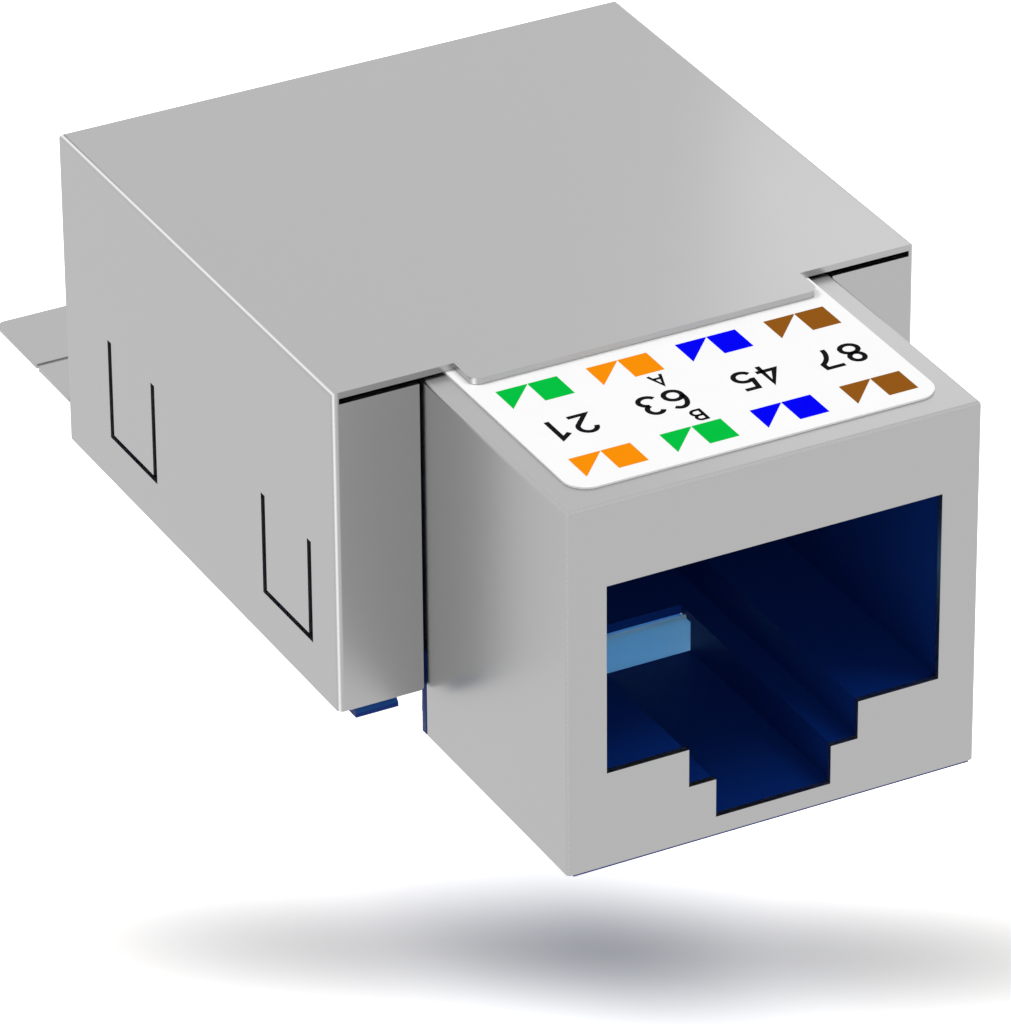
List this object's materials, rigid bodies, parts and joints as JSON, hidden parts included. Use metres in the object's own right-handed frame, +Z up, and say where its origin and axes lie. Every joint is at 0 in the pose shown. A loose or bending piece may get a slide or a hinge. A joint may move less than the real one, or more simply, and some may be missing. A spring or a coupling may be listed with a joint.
{
  "type": "keystone jack",
  "caption": "Shielded toolless keystone jack: stepped plug opening in a narrow sheet-metal front, sprung panel latch, lift-off rear cover and flat cable tongue.",
  "frame": {"origin": "middle of the panel opening that the jack snaps into, in the plane of the jack's front face", "axes": "+X to the right seen from the front, +Y back along the plug's travel, +Z up"},
  "size_m": [0.0208, 0.0354, 0.0173],
  "materials": {
    "sheet_metal": "satin nickel-plated sheet",
    "label_paper": "white printed label",
    "blue_plastic": "dark blue moulded plastic",
    "clear_blue_plastic": "translucent light blue moulded plastic",
    "pale_plastic": "off-white moulded plastic",
    "board_laminate": "green circuit board with solder mask",
    "contact_gold": "gold-plated spring wire",
    "tinned_bronze": "tin-plated bronze sheet"
  },
  "bodies": {
    "jack": {"front_shell": "sheet_metal", "jack_housing": "blue_plastic", "contact_comb": "blue_plastic", "circuit_board": "board_laminate", "terminal_block": "pale_plastic", "base_plate": "sheet_metal", "label": "label_paper", "contact_1": "contact_gold", "contact_2": "contact_gold", "contact_3": "contact_gold", "contact_4": "contact_gold", "contact_5": "contact_gold", "contact_6": "contact_gold", "contact_7": "contact_gold", "contact_8": "contact_gold", "terminal_1": "tinned_bronze", "terminal_2": "tinned_bronze", "terminal_3": "tinned_bronze", "terminal_4": "tinned_bronze", "terminal_5": "tinned_bronze", "terminal_6": "tinned_bronze", "terminal_7": "tinned_bronze", "terminal_8": "tinned_bronze"},
    "lid": {"rear_cover": "sheet_metal", "wire_cap": "pale_plastic"},
    "latch": {"panel_latch": "clear_blue_plastic"}
  },
  "joints": [
    {"name": "cover_lift", "type": "slide", "parent": "jack", "child": "lid", "axis": [0, 0, 1], "range_m": [0, 0.012]},
    {"name": "latch_press", "type": "hinge", "parent": "jack", "child": "latch", "pos_m": [0, 0.0029, -0.00577], "axis": [1, 0, 0], "range_deg": [0, 13], "stiffness_Nm_per_rad": 0.02}
  ]
}
